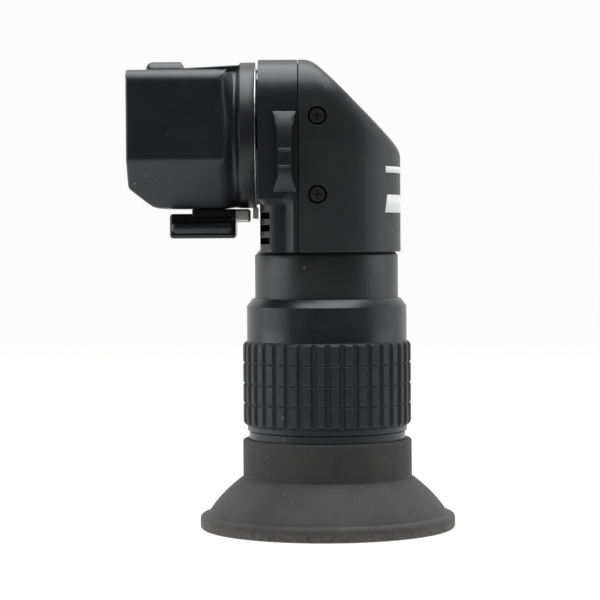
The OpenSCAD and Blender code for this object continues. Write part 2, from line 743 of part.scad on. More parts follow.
// Focusing ring with ribs, three cross notches and a lip that turns on the barrel
function notch(z) = [[grip_r, z - 0.45], [grip_r - 0.4, z], [grip_r, z + 0.45]];
module focus_ring() {
    bore = neck_r + running_gap;
    flute_r = 0.95;
    place() color(black) difference() {
        rotate_extrude() polygon(concat(
            [[barrel_r + running_gap, lip_bottom], [ring_r, lip_bottom], [ring_r, 18.15],
                [grip_r - 0.3, 18.5], [grip_r, 19.5]],
            notch(22.1), notch(25.6), notch(29.2),
            [[grip_r, 31.4], [grip_r - 0.3, 32.4], [ring_r, 33.1], [ring_r, 39.1],
                [13.06, ring_top], [bore, ring_top], [bore, 38.5], [bore + 0.35, 38.5],
                [bore + 0.35, 37], [bore, 37], [bore, lip_top], [barrel_r + running_gap, lip_top]]));
        for (i = [0 : rib_count - 1]) rotate([0, 0, (i + 0.5) * 360 / rib_count])
            translate([grip_r + 0.5, 0, 17]) cylinder(r = flute_r, h = 15.8, $fn = 24);
    }
}
module focus_seal() { place() color([0.25, 0.24, 0.22]) tube(13.02, neck_r + fit_gap, 37.05, 38.45); }

prism_housing();
front_housing();
housing_screws();
roof_prism();
prism_cradle();
prism_clip();
prism_clip_screws();
objective_lens();
objective_cell();
neck_tube();
neck_nut();
field_stop();
guide_pins();
swivel_bush();
swivel_retainer();
front_window();
click_ball();
click_spring();
lever_bush();
lever_washer();
adapter_block();
click_ring();
click_ring_screws();
shoe_plate();
shoe_plate_screws();
rail_springs();
lock_tab();
lock_slider();
lock_screw();
magnifier_lever();
lever_shaft();
crank_plate();
crank_screw();
magnifier_carrier();
magnifier_front_lens();
magnifier_rear_lens();
magnifier_lock_ring();
eyepiece_barrel();
field_lens();
lens_spacer();
eye_lens();
eyepiece_lock_ring();
focus_snap_ring();
eyecup_seat_ring();
eyecup();
focus_ring();
focus_seal();
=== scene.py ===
import math

import bmesh
import bpy
import numpy as np
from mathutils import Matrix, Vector
from mathutils.geometry import delaunay_2d_cdt
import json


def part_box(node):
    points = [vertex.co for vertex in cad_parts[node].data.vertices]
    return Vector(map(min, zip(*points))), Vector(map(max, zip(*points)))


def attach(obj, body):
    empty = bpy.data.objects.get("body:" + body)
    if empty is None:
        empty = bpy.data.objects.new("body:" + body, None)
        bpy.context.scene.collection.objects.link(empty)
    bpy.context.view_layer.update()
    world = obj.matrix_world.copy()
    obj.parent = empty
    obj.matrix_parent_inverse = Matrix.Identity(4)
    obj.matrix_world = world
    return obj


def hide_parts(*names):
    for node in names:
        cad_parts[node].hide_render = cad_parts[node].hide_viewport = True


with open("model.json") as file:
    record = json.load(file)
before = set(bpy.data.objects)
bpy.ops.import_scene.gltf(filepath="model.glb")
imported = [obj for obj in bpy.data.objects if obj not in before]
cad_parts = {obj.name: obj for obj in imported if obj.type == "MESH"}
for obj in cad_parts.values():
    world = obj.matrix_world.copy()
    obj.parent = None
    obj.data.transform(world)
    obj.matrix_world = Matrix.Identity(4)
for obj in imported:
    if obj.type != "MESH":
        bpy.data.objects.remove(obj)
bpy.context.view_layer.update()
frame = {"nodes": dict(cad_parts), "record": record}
MM = 0.001


# ---------------------------------------------------------------- camera and studio
# A long lens at the height of the focusing ring, a pale floor and a white tent: one large
# softbox overhead, and white walls behind and beside the finder, darker towards the lens.
eyecup_low, eyecup_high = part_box("eyecup")
bush_low, bush_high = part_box("swivel_bush")
TUBE_X = (eyecup_low.x + eyecup_high.x) / 2
AXIS = (bush_low.z + bush_high.z) / 2 / MM
LENS_DISTANCE, LENS_HEIGHT, LENS_DIP, LENS_ROLL = 384, 50.4, 1.53, 0.35


def add_object(name, data):
    """A new object with the given data, linked into the scene."""
    thing = bpy.data.objects.new(name, data)
    bpy.context.scene.collection.objects.link(thing)
    return thing


camera_data = bpy.data.cameras.new("camera")
camera_data.lens = 130.5
camera_data.sensor_width = 36
camera_data.clip_start = 0.01
camera = add_object("camera", camera_data)
camera.location = (TUBE_X - 4.64 * MM, -LENS_DISTANCE * MM, LENS_HEIGHT * MM)
camera.rotation_euler = (math.radians(90 - LENS_DIP), math.radians(LENS_ROLL), 0)
bpy.context.scene.camera = camera
bpy.context.scene.view_settings.view_transform = "Standard"


def softbox(name, place, turn, size, watts):
    """A rectangular studio light of the given width and depth, turned by Euler angles in degrees."""
    light = bpy.data.lights.new(name, "AREA")
    light.shape = "RECTANGLE"
    light.size, light.size_y = size
    light.energy = watts
    lamp = add_object(name, light)
    lamp.location = place
    lamp.rotation_euler = [math.radians(a) for a in turn]


softbox("overhead", (0, -0.03, 0.46), (0, 0, 0), (0.42, 0.46), 3.1)
softbox("left_wall", (-0.42, -0.06, 0.16), (0, -90, 0), (0.26, 0.34), 0.62)
softbox("right_wall", (0.42, -0.02, 0.16), (0, 90, 0), (0.26, 0.30), 0.35)


def tent_world():
    """White tent round the finder: light grows from the lens side towards the wall behind it."""
    world = bpy.data.worlds.new("tent")
    world.use_nodes = True
    nodes, links = world.node_tree.nodes, world.node_tree.links
    background = nodes["Background"]
    place = nodes.new("ShaderNodeTexCoord")
    split = nodes.new("ShaderNodeSeparateXYZ")
    ramp = nodes.new("ShaderNodeMapRange")
    ramp.interpolation_type = "SMOOTHSTEP"
    ramp.inputs["From Min"].default_value = -0.45
    ramp.inputs["From Max"].default_value = 0.75
    ramp.inputs["To Min"].default_value = 0.07
    ramp.inputs["To Max"].default_value = 0.92
    links.new(place.outputs["Generated"], split.inputs[0])
    links.new(split.outputs["Y"], ramp.inputs["Value"])
    links.new(ramp.outputs["Result"], background.inputs["Color"])
    background.inputs["Strength"].default_value = 1.0
    bpy.context.scene.world = world


tent_world()


def new_material(name):
    """A material with its nodes, its links and its shader."""
    material = bpy.data.materials.new(name)
    material.use_nodes = True
    nodes = material.node_tree.nodes
    return material, nodes, material.node_tree.links, nodes["Principled BSDF"]


def plain_material(name, colour, glow):
    """Matt stage paint that also glows, so that the ground stays even."""
    material, _, _, shader = new_material(name)
    shader.inputs["Base Color"].default_value = (*colour, 1)
    shader.inputs["Roughness"].default_value = 0.9
    shader.inputs["Specular IOR Level"].default_value = 0.1
    shader.inputs["Emission Color"].default_value = (1, 1, 1, 1)
    shader.inputs["Emission Strength"].default_value = glow
    return material


def studio():
    """A floor that ends just before the lens, and a round white tent that only the lens sees."""
    half, near = 0.9, -0.17
    mesh = bpy.data.meshes.new("studio_floor")
    mesh.from_pydata([(-half, near, 0), (half, near, 0), (half, half, 0), (-half, half, 0)], [], [(0, 1, 2, 3)])
    mesh.materials.append(plain_material("floor_paint", (0.16, 0.16, 0.155), 0.86))
    floor = add_object("studio_floor", mesh)
    ball = bmesh.new()
    bmesh.ops.create_icosphere(ball, subdivisions=4, radius=3.0)
    wall_mesh = bpy.data.meshes.new("studio_tent")
    ball.to_mesh(wall_mesh)
    ball.free()
    wall_mesh.materials.append(plain_material("tent_cloth", (0, 0, 0), 0.975))
    wall = add_object("studio_tent", wall_mesh)
    wall.visible_diffuse = wall.visible_glossy = wall.visible_shadow = wall.visible_transmission = False


studio()


# ---------------------------------------------------------------- eyecup
# A soft moulded rubber cup: a straight collar stretched over the barrel's foot, and a flared
# skirt with a rounded rim bead. The rubber is matt, holds dust and is rubbed grey at the rim.
MERGE_WITHIN = 2e-6


def grid_quads(rows, columns, wrap=False):
    """Quads between the points of a grid stored row by row; wrap joins the last column to the first."""
    row = np.arange(rows - 1)[:, None]
    column = np.arange(columns if wrap else columns - 1)[None, :]
    following = (column + 1) % columns
    corners = [row * columns + column, row * columns + following,
               (row + 1) * columns + following, (row + 1) * columns + column]
    return np.stack(corners, -1).reshape(-1, 4)


def make_piece(name, parts, sharp=35, bevel=0.0):
    """One object from several (points, faces) parts: joined, merged, turned outwards and smoothed."""
    points = np.concatenate([p for p, _ in parts])
    starts = np.cumsum([0] + [len(p) for p, _ in parts])
    faces = [[int(i) + start for i in face] for start, (_, fs) in zip(starts, parts) for face in fs]
    mesh = bpy.data.meshes.new(name)
    mesh.from_pydata(points.tolist(), [], faces)
    shape = bmesh.new()
    shape.from_mesh(mesh)
    bmesh.ops.remove_doubles(shape, verts=shape.verts, dist=MERGE_WITHIN)
    bmesh.ops.dissolve_degenerate(shape, edges=shape.edges, dist=1e-6)
    bmesh.ops.recalc_face_normals(shape, faces=shape.faces)
    shape.to_mesh(mesh)
    shape.free()
    mesh.shade_smooth()
    mesh.set_sharp_from_angle(angle=math.radians(sharp))
    piece = add_object(name, mesh)
    if bevel:
        round_edges(piece, bevel, 2, sharp)
    return piece


def round_edges(piece, width, segments, sharp, clamp=True):
    """Small machined or moulded radius on every edge sharper than the given angle."""
    modifier = piece.modifiers.new("edge_radius", "BEVEL")
    modifier.width = width
    modifier.segments = segments
    modifier.limit_method = "ANGLE"
    modifier.angle_limit = math.radians(sharp)
    modifier.harden_normals = True
    modifier.use_clamp_overlap = clamp


def arc(centre, radius, start, end, steps):
    """Points along a circle in a flat profile, from one angle in degrees to another."""
    angle = np.radians(np.linspace(start, end, steps))
    return np.stack([centre[0] + radius * np.cos(angle), centre[1] + radius * np.sin(angle)], -1)


def turned(profile, steps, ripple=None):
    """Closed profile of (radius, height) carried round the eyepiece axis; ripple changes the radius."""
    profile = np.asarray(profile, float)
    turn = np.linspace(0, 2 * np.pi, steps, endpoint=False)
    radius = np.repeat(profile[:, :1], steps, 1)
    height = np.repeat(profile[:, 1:], steps, 1)
    if ripple is not None:
        radius = radius - ripple(turn[None, :], height, radius)
    points = np.stack([TUBE_X / MM + radius * np.cos(turn), radius * np.sin(turn), height], -1)
    faces = grid_quads(len(profile) + 1, steps, wrap=True) % (len(profile) * steps)
    return points.reshape(-1, 3) * MM, faces


def noise_node(nodes, links, where, scale, detail=3, roughness=0.55):
    """A Noise Texture read in object space, scaled in features per metre."""
    noise = nodes.new("ShaderNodeTexNoise")
    noise.inputs["Scale"].default_value = scale
    noise.inputs["Detail"].default_value = detail
    noise.inputs["Roughness"].default_value = roughness
    links.new(where, noise.inputs["Vector"])
    return noise.outputs["Fac"]


def span(nodes, links, value, low, high, to_low, to_high, smooth=False):
    """Maps a value from one range to another, clamped."""
    ramp = nodes.new("ShaderNodeMapRange")
    ramp.interpolation_type = "SMOOTHSTEP" if smooth else "LINEAR"
    for socket, number in zip(("From Min", "From Max", "To Min", "To Max"), (low, high, to_low, to_high)):
        ramp.inputs[socket].default_value = number
    links.new(value, ramp.inputs["Value"])
    return ramp.outputs["Result"]


def product(nodes, links, first, second):
    """Two values multiplied."""
    both = nodes.new("ShaderNodeMath")
    both.operation = "MULTIPLY"
    links.new(first, both.inputs[0])
    links.new(second, both.inputs[1])
    return both.outputs[0]


def add_bump(nodes, links, shader, height, depth):
    """Bump of the given depth in metres, from a value used as height."""
    bump = nodes.new("ShaderNodeBump")
    bump.inputs["Distance"].default_value = depth
    bump.inputs["Strength"].default_value = 1.0
    links.new(height, bump.inputs["Height"])
    links.new(bump.outputs["Normal"], shader.inputs["Normal"])


def blend_colours(nodes, links, share, first, second):
    """Mix of two colours; each is a colour or a socket."""
    mix = nodes.new("ShaderNodeMix")
    mix.data_type = "RGBA"
    links.new(share, mix.inputs["Factor"])
    for socket, colour in ((6, first), (7, second)):
        if isinstance(colour, tuple):
            mix.inputs[socket].default_value = (*colour, 1)
        else:
            links.new(colour, mix.inputs[socket])
    return mix.outputs[2]


def dust_specks(nodes, links, where, per_metre, size, share):
    """Sparse round specks: the nearest random point closer than size, in only some of the cells."""
    cells = nodes.new("ShaderNodeTexVoronoi")
    cells.inputs["Scale"].default_value = per_metre
    links.new(where, cells.inputs["Vector"])
    spot = span(nodes, links, cells.outputs["Distance"], size * 0.5, size, 1.0, 0.0)
    split = nodes.new("ShaderNodeSeparateColor")
    links.new(cells.outputs["Color"], split.inputs[0])
    chosen = span(nodes, links, split.outputs[0], 1 - share, 1 - share + 0.001, 0.0, 1.0)
    return product(nodes, links, spot, chosen)


def black_finish(name, dark, light, rough, grain, depth, dust, specular, patch=90):
    """Black coating: tone drifts between two shades in soft patches, roughness drifts between two
    values, a fine grain of the given features per metre gives the bump, and dust specks lie on it."""
    material, nodes, links, shader = new_material(name)
    where = nodes.new("ShaderNodeTexCoord").outputs["Object"]
    drift = noise_node(nodes, links, where, patch, 4)
    tone = blend_colours(nodes, links, span(nodes, links, drift, 0.3, 0.7, 0, 1), dark, light)
    specks = dust_specks(nodes, links, where, 520, 0.10, dust)
    soft = noise_node(nodes, links, where, 260, 2)
    film = span(nodes, links, soft, 0.45, 0.8, 0.0, 0.02)
    dusted = blend_colours(nodes, links, film, tone, (0.30, 0.29, 0.27))
    links.new(blend_colours(nodes, links, specks, dusted, (0.22, 0.21, 0.19)), shader.inputs["Base Color"])
    fine = noise_node(nodes, links, where, grain, 3)
    links.new(span(nodes, links, fine, 0.3, 0.7, rough[0], rough[1]), shader.inputs["Roughness"])
    add_bump(nodes, links, shader, fine, depth)
    shader.inputs["Specular IOR Level"].default_value = specular
    shader.inputs["Specular Tint"].default_value = (0.92, 0.96, 1.0, 1.0)
    return material


def dress(piece, material, body, slot, *stands_for):
    """Gives a new piece its material and its body, and hides the CAD nodes it stands for; slot is not used."""
    if len(piece.data.materials) < 2:
        piece.data.materials.clear()
        piece.data.materials.append(material)
    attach(piece, body)
    if stands_for:
        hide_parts(*stands_for)


def eyecup_profile():
    """Outer line from the rim bead along a quadratic curve to the collar, then back down inside it."""
    rim, collar = 22.49, 14.9
    bead = np.concatenate([arc((rim - 0.55, 0.55), 0.55, -90, -12, 7), [[rim, 0.75]],
                           arc((rim - 0.75, 1.75), 0.75, 0, 78, 9)])
    t = np.linspace(0, 1, 25)[:, None]
    low, middle, high = np.array([[rim - 1.35, 2.62], [rim - 3.6, 6.2], [collar, 9.1]])
    flare = (1 - t) ** 2 * low + 2 * t * (1 - t) * middle + t ** 2 * high
    along = (1 - t) * (middle - low) + t * (high - middle)
    normal = np.stack([-along[:, 1], along[:, 0]], -1) / np.linalg.norm(along, axis=1)[:, None]
    collar_top = arc((collar - 0.5, 15.25), 0.5, 0, 90, 6)
    seat = np.array([[12.67, 15.75], [12.67, 9.57], [11.3, 9.57], [11.3, 8.9]])
    inner = (flare + normal * 1.25)[::-1]
    lip = np.array([[rim - 2.35, 1.4], [rim - 2.2, 0.5], [rim - 1.9, 0.12]])
    return np.concatenate([bead, flare, [[collar, 9.25]], [[collar, 12.0]], collar_top, seat, inner, lip,
                           [[rim - 1.6, 0.0]]])


def rubber_finish():
    """Matt black rubber with a chalky bloom on the skirt, dust specks and a rubbed brownish rim."""
    material, nodes, links, shader = new_material("eyecup_rubber")
    where = nodes.new("ShaderNodeTexCoord").outputs["Object"]
    split = nodes.new("ShaderNodeSeparateXYZ")
    links.new(where, split.inputs[0])
    height = split.outputs["Z"]
    cloud = noise_node(nodes, links, where, 120, 5)
    fine = noise_node(nodes, links, where, 2600, 4)
    tone = blend_colours(nodes, links, span(nodes, links, cloud, 0.35, 0.65, 0, 1),
                         (0.027, 0.028, 0.027), (0.036, 0.036, 0.035))
    skirt = span(nodes, links, height, 0.0092, 0.0082, 0.0, 1.0, True)
    bloom = product(nodes, links, span(nodes, links, cloud, 0.3, 0.75, 0.10, 0.24), skirt)
    bloomed = blend_colours(nodes, links, bloom, tone, (0.150, 0.153, 0.150))
    rim = span(nodes, links, height, 0.0022, 0.0006, 0.0, 1.0, True)
    scuffs = span(nodes, links, noise_node(nodes, links, where, 1500, 6, 0.7), 0.42, 0.66, 0.05, 0.95)
    worn = blend_colours(nodes, links, product(nodes, links, rim, scuffs), bloomed, (0.135, 0.112, 0.09))
    specks = dust_specks(nodes, links, where, 700, 0.13, 0.35)
    links.new(blend_colours(nodes, links, specks, worn, (0.14, 0.13, 0.12)), shader.inputs["Base Color"])
    links.new(span(nodes, links, fine, 0.3, 0.7, 0.62, 0.80), shader.inputs["Roughness"])
    add_bump(nodes, links, shader, fine, 0.00003)
    shader.inputs["Specular IOR Level"].default_value = 0.35
    shader.inputs["Sheen Weight"].default_value = 0.05
    return material


cup = make_piece("eyecup_rubber", [turned(eyecup_profile(), 192)], sharp=40)
dress(cup, rubber_finish(), "eyepiece", "rubber", "eyecup")


# ---------------------------------------------------------------- focusing ring
# Turned and knurled aluminium, black anodised: a chamfered smooth band above, and below it a
# grip of rounded ribs that three V-grooves cut into four rows. Its lip turns on the barrel.
RIBS, GRIP_R, FLUTE_DEPTH = 38, 14.8, 0.47


def grip_ripple(turn, height, radius):
    """Flutes between the ribs: a valley over 58 percent of the pitch, with a flat floor over a third of it and
    S-curved walls; it only takes away what the profile has left above the flute's depth."""
    phase = (turn * RIBS / (2 * np.pi)) % 1.0
    wall = np.clip((np.abs(phase - 0.5) / 0.29 - 0.35) / 0.65, 0, 1)
    valley = 1 - wall * wall * (3 - 2 * wall)
    return np.where(height > 17.2, np.clip(FLUTE_DEPTH * valley - (GRIP_R - radius), 0, None), 0) * (radius > 13.9)


def notch_profile(z, grip, depth=0.24, half=0.22):
    """A V-groove across the ribs with slightly rounded shoulders."""
    return [[grip, z - half - 0.12], [grip - 0.05, z - half], [grip - depth, z], [grip - 0.05, z + half],
            [grip, z + half + 0.12]]


def focus_ring_profile():
    """From the lip up the outside of the grip, the band and the chamfer, then down the bore."""
    grip, band, bore = GRIP_R, 14.08, 12.7
    lower = np.concatenate([[[11.4, 17.15], [13.95, 17.15], [14.08, 17.28], [14.08, 18.1], [14.12, 18.16]],
                            arc((grip - 0.9, 19.1), 0.9, -62, 0, 8)])
    rows = [np.array(notch_profile(z, grip)) for z in (22.1, 25.6, 29.2)]
    ribs = ((20.0, 21.2), (23.0, 24.7), (26.6, 28.3), (30.0, 31.6))
    straight = [np.array([[grip, z] for z in ends]) for ends in ribs]
    upper = np.concatenate([arc((grip - 0.9, 32.1), 0.9, 0, 68, 9), [[band + 0.03, 33.0], [band, 33.12],
                            [band, 36.0], [band, 39.08], [13.10, 40.44], [13.0, 40.5],
                            [bore + 0.08, 40.5], [bore, 40.42], [bore, 20.0], [11.4, 20.0]]])
    parts = [lower, straight[0], rows[0], straight[1], rows[1], straight[2], rows[2], straight[3], upper]
    return np.concatenate(parts)


anodised = black_finish("black_anodised", (0.0085, 0.0095, 0.0105), (0.012, 0.013, 0.014), (0.26, 0.34), 4200,
                        0.000006, dust=0.08, specular=0.46)


def dull_the_grip(material):
    """Roughens the ribbed zone between 17.9 and 33 mm of height, which is blasted where the band is bright."""
    nodes, links = material.node_tree.nodes, material.node_tree.links
    split = nodes.new("ShaderNodeSeparateXYZ")
    links.new(nodes.new("ShaderNodeTexCoord").outputs["Object"], split.inputs[0])
    zone = product(nodes, links, span(nodes, links, split.outputs["Z"], 0.0178, 0.0183, 0, 0.24),
                   span(nodes, links, split.outputs["Z"], 0.0327, 0.0332, 1, 0))
    total = nodes.new("ShaderNodeMath")
    shader = nodes["Principled BSDF"]
    links.new(shader.inputs["Roughness"].links[0].from_socket, total.inputs[0])
    links.new(zone, total.inputs[1])
    links.new(total.outputs[0], shader.inputs["Roughness"])


dull_the_grip(anodised)
ring = make_piece("focus_ring_knurled", [turned(focus_ring_profile(), RIBS * 22, ripple=grip_ripple)], sharp=30)
dress(ring, anodised, "focus_ring", "casting_black", "focus_ring")


# ---------------------------------------------------------------- neck tube
# Black anodised tube, turned from aluminium and screwed under the housing. The focusing ring
# climbs along its lower half. A small shoulder meets the housing.
def neck_profile():
    """Outside of the tube with its shoulder, then the bore."""
    outer = 12.6
    return [[11.42, 26.8], [outer - 0.15, 26.8], [outer, 26.95], [outer, 38], [outer, 44], [outer, 48.0],
            [outer - 0.06, 48.12], [11.62, 49.1], [9.4, 49.1], [9.4, 54], [8.6, 54], [8.6, 47.6], [11.42, 47.6]]


neck_coat = black_finish("neck_anodised", (0.013, 0.0135, 0.0140), (0.019, 0.019, 0.0195), (0.32, 0.42), 2600,
                         0.000008, dust=0.12, specular=0.5, patch=170)
neck = make_piece("neck_tube_turned", [turned(neck_profile(), 128)], sharp=38)
dress(neck, neck_coat, "housing", "casting_black", "neck_tube")


# ---------------------------------------------------------------- carried-over hardware
# Small machined pieces keep their designed shape: each is merged, given a fine edge radius and
# its own finish. They are the housing screws, the click ring and the plate of the camera shoe.
def metal_finish(name, colour, rough, stretch=(1, 1, 1)):
    """Bare metal: tone and roughness drift a little, with fine tool marks drawn out along one axis."""
    material, nodes, links, shader = new_material(name)
    mapping = nodes.new("ShaderNodeMapping")
    mapping.inputs["Scale"].default_value = stretch
    links.new(nodes.new("ShaderNodeTexCoord").outputs["Object"], mapping.inputs["Vector"])
    where = mapping.outputs["Vector"]
    fine = noise_node(nodes, links, where, 3000, 4)
    cloud = noise_node(nodes, links, where, 180, 4)
    darker = tuple(c * 0.72 for c in colour)
    tone = blend_colours(nodes, links, span(nodes, links, cloud, 0.3, 0.7, 0, 1), darker, colour)
    links.new(tone, shader.inputs["Base Color"])
    links.new(span(nodes, links, fine, 0.3, 0.7, rough[0], rough[1]), shader.inputs["Roughness"])
    add_bump(nodes, links, shader, fine, 0.000003)
    shader.inputs["Metallic"].default_value = 1.0
    return material


def machined_copy(node, body, slot, material, bevel, sharp=30):
    """A merged copy of a CAD node with a small edge radius, standing for that node."""
    mesh = frame["nodes"][node].data.copy()
    mesh.materials.clear()
    shape = bmesh.new()
    shape.from_mesh(mesh)
    bmesh.ops.remove_doubles(shape, verts=shape.verts, dist=MERGE_WITHIN)
    bmesh.ops.dissolve_limit(shape, angle_limit=math.radians(0.6), verts=shape.verts, edges=shape.edges)
    shape.to_mesh(mesh)
    shape.free()
    mesh.shade_smooth()
    mesh.set_sharp_from_angle(angle=math.radians(sharp))
    piece = add_object(node + "_finished", mesh)
    round_edges(piece, bevel, 2, sharp)
    dress(piece, material, body, slot, node)


satin = black_finish("satin_black_paint", (0.0085, 0.0088, 0.0105), (0.0115, 0.0118, 0.0138), (0.34, 0.44), 5200,
                     0.000008, dust=0.10, specular=0.5)
inner = black_finish("inner_black", (0.010, 0.010, 0.0105), (0.014, 0.014, 0.0145), (0.55, 0.7), 3000, 0.000006,
                     dust=0.05, specular=0.35)
# Near-black paint with no shine: painted shade for the inside of the castings, their wall rims, the sheet behind the
# slots and the tongue in the seam.
painted_shade = black_finish("painted_shade_black", (0.001, 0.001, 0.001), (0.002, 0.002, 0.002), (0.9, 1.0), 3000, 0.000006,
                    dust=0.02, specular=0.0)
steel = metal_finish("satin_steel", (0.78, 0.77, 0.73), (0.34, 0.5), stretch=(1, 6, 1))
chrome = metal_finish("bright_plate", (0.80, 0.80, 0.80), (0.10, 0.20))
plated = metal_finish("plated_ring", (0.92, 0.90, 0.86), (0.36, 0.48))
brass = metal_finish("turned_brass", (0.60, 0.45, 0.20), (0.25, 0.38))
machined_copy("click_ring", "camera_shoe", "bright_steel", plated, 0.05 * MM)
machined_copy("shoe_plate", "camera_shoe", "casting_black", satin, 0.15 * MM)
blackened = black_finish("blackened_screw", (0.012, 0.012, 0.013), (0.018, 0.018, 0.019), (0.25, 0.4), 4000,
                         0.000006, dust=0.1, specular=0.6)
machined_copy("housing_screws", "housing", "black_steel", blackened, 0.07 * MM)


# ---------------------------------------------------------------- back casting
# The lacquered die-cast cover over the prism: flat sides, a round back, a roof that falls away at
# 45 degrees behind, and soft edges between them. Its screws sit in round pockets in the sides.
COVER_HALF, COVER_TOP, COVER_FOOT, SEAM_X = 13.1, 82.0, 48.6, -4.85
ROOF_R, SLOPE_R, SLOPE_AWAY, NECK_HOLE_R = 7.5, 3.5, 7.24, 9.45
CROWN_AT = (COVER_HALF - ROOF_R, COVER_TOP - ROOF_R)
SCREW_X, SCREW_Z, POCKET_R = -1.6, (71.9, 58.5), 1.57


def blended(first, second, radius, cosine):
    """Distance to two surfaces met by a rolling ball: with u and v the distances to both offset inwards
    by the radius, it is the length in their skewed frame less the radius where both count, else the larger."""
    u, v = first + radius, second + radius
    length = np.sqrt(np.maximum(u * u + v * v - 2 * u * v * cosine, 0) / (1 - cosine * cosine))
    return np.where((u > v * cosine) & (v > u * cosine), length - radius, np.maximum(first, second))


def cover_distance(x, y, z):
    """Signed distance of both covers: flat or round sides, a roof blended in at 7.5, a 45 degree slope at 3.5."""
    reach = np.where(x > 0, np.hypot(x, y), np.abs(y))
    side, roof = reach - COVER_HALF, z - COVER_TOP
    body = blended(side, roof, ROOF_R, 0.0)
    up = np.clip(roof + ROOF_R, 0, None)
    out = np.clip(side + ROOF_R, 0, None)
    length = np.where(up + out > 0, np.hypot(up, out), 1)
    up, out = np.where(up > 0, up / length, 0), np.where(up > 0, out / length, 1)
    outward_x = np.where(x > 0, x / np.maximum(reach, 1e-6), 0) * out
    slope = (x + z - AXIS) / math.sqrt(2) - SLOPE_AWAY
    return blended(body, slope, SLOPE_R, np.clip((outward_x + up) / math.sqrt(2), -0.99, 0.99))


def cast_rays(origin, direction):
    """Where rays from inside leave the covers, found by halving the interval 44 times."""
    near, far = np.zeros(origin.shape[:-1]), np.full(origin.shape[:-1], 40.0)
    for _ in range(44):
        middle = (near + far) / 2
        inside = cover_distance(*np.moveaxis(origin + direction * middle[..., None], -1, 0)) < 0
        near, far = np.where(inside, middle, near), np.where(inside, far, middle)
    return origin + direction * near[..., None]


def flat_patch(outline, holes, place):
    """Flat faces inside an outline less its holes; place turns (a, b) pairs into points in space."""
    loops = [np.asarray(loop, float) for loop in (outline, *holes)]
    starts = np.cumsum([0] + [len(loop) for loop in loops])
    edges = [(s + i, s + (i + 1) % len(loop)) for s, loop in zip(starts, loops) for i in range(len(loop))]
    found = delaunay_2d_cdt([tuple(q) for loop in loops for q in loop], edges, [], 1, 1e-6)
    flat = np.array([tuple(v) for v in found[0]])
    faces = np.array(found[2])
    middle = flat[faces].mean(1)
    for hole in loops[1:]:
        centre = hole.mean(0)
        faces_kept = np.linalg.norm(middle - centre, axis=1) > 0.98 * np.linalg.norm(hole[0] - centre)
        faces, middle = faces[faces_kept], middle[faces_kept]
    return place(flat[:, 0], flat[:, 1]) * MM, faces.tolist()


def circle(centre, radius, steps):
    """Points round a full circle."""
    return arc(centre, radius, 0, 360, steps + 1)[:-1]


def shift(points):
    """Moves points in millimetres from the eyepiece axis to the shared frame."""
    return points + np.array([TUBE_X / MM, 0, 0])


def give_wall(piece, thickness):
    """A wall of the given thickness behind a skin."""
    modifier = piece.modifiers.new("wall", "SOLIDIFY")
    modifier.thickness = thickness
    return modifier


def hollow(piece, thickness, bevel, paint=satin):
    """Gives a skin its wall towards the inside, with painted shade on that inside and at its rims, and its edges a
    cast radius.
    """
    piece.data.materials.append(paint)
    piece.data.materials.append(painted_shade)
    modifier = give_wall(piece, thickness)
    modifier.offset = -1
    modifier.use_even_offset = True
    modifier.material_offset = modifier.material_offset_rim = 1
    if bevel:
        round_edges(piece, bevel, 3, 32, clamp=False)


def radial_patch(outline, centre, shares, inner_radius, place):
    """Flat ring of quads between an outline and a circle: each outline point moves straight to the centre."""
    outline = np.asarray(outline, float)
    arm = outline - centre
    reach = np.linalg.norm(arm, axis=1)[:, None]
    rows = [np.asarray(centre) + arm * ((reach + (inner_radius - reach) * share) / reach) for share in shares]
    flat = np.concatenate(rows)
    return place(flat[:, 0], flat[:, 1]) * MM, grid_quads(len(rows), len(outline))


def pocket_ring(corners, centre, radius, place):
    """Ring of quads between a rectangle and a round hole: the rectangle's points, given by its sorted
    coordinates, are drawn straight in to a circle a little larger than the hole and then to its edge."""
    across, up = corners
    low, high = (np.stack([across, np.full_like(across, up[i])], -1) for i in (0, -1))
    left, right = (np.stack([np.full_like(up, across[i]), up], -1) for i in (0, -1))
    frame_points = np.concatenate([low[:-1], right[:-1], high[:0:-1], left[:0:-1]])
    arm = frame_points - centre
    arm /= np.linalg.norm(arm, axis=1)[:, None]
    rows = np.concatenate([frame_points, centre + arm * (radius + 0.28), centre + arm * radius])
    return place(rows[:, 0], rows[:, 1]) * MM, grid_quads(3, len(frame_points), wrap=True)


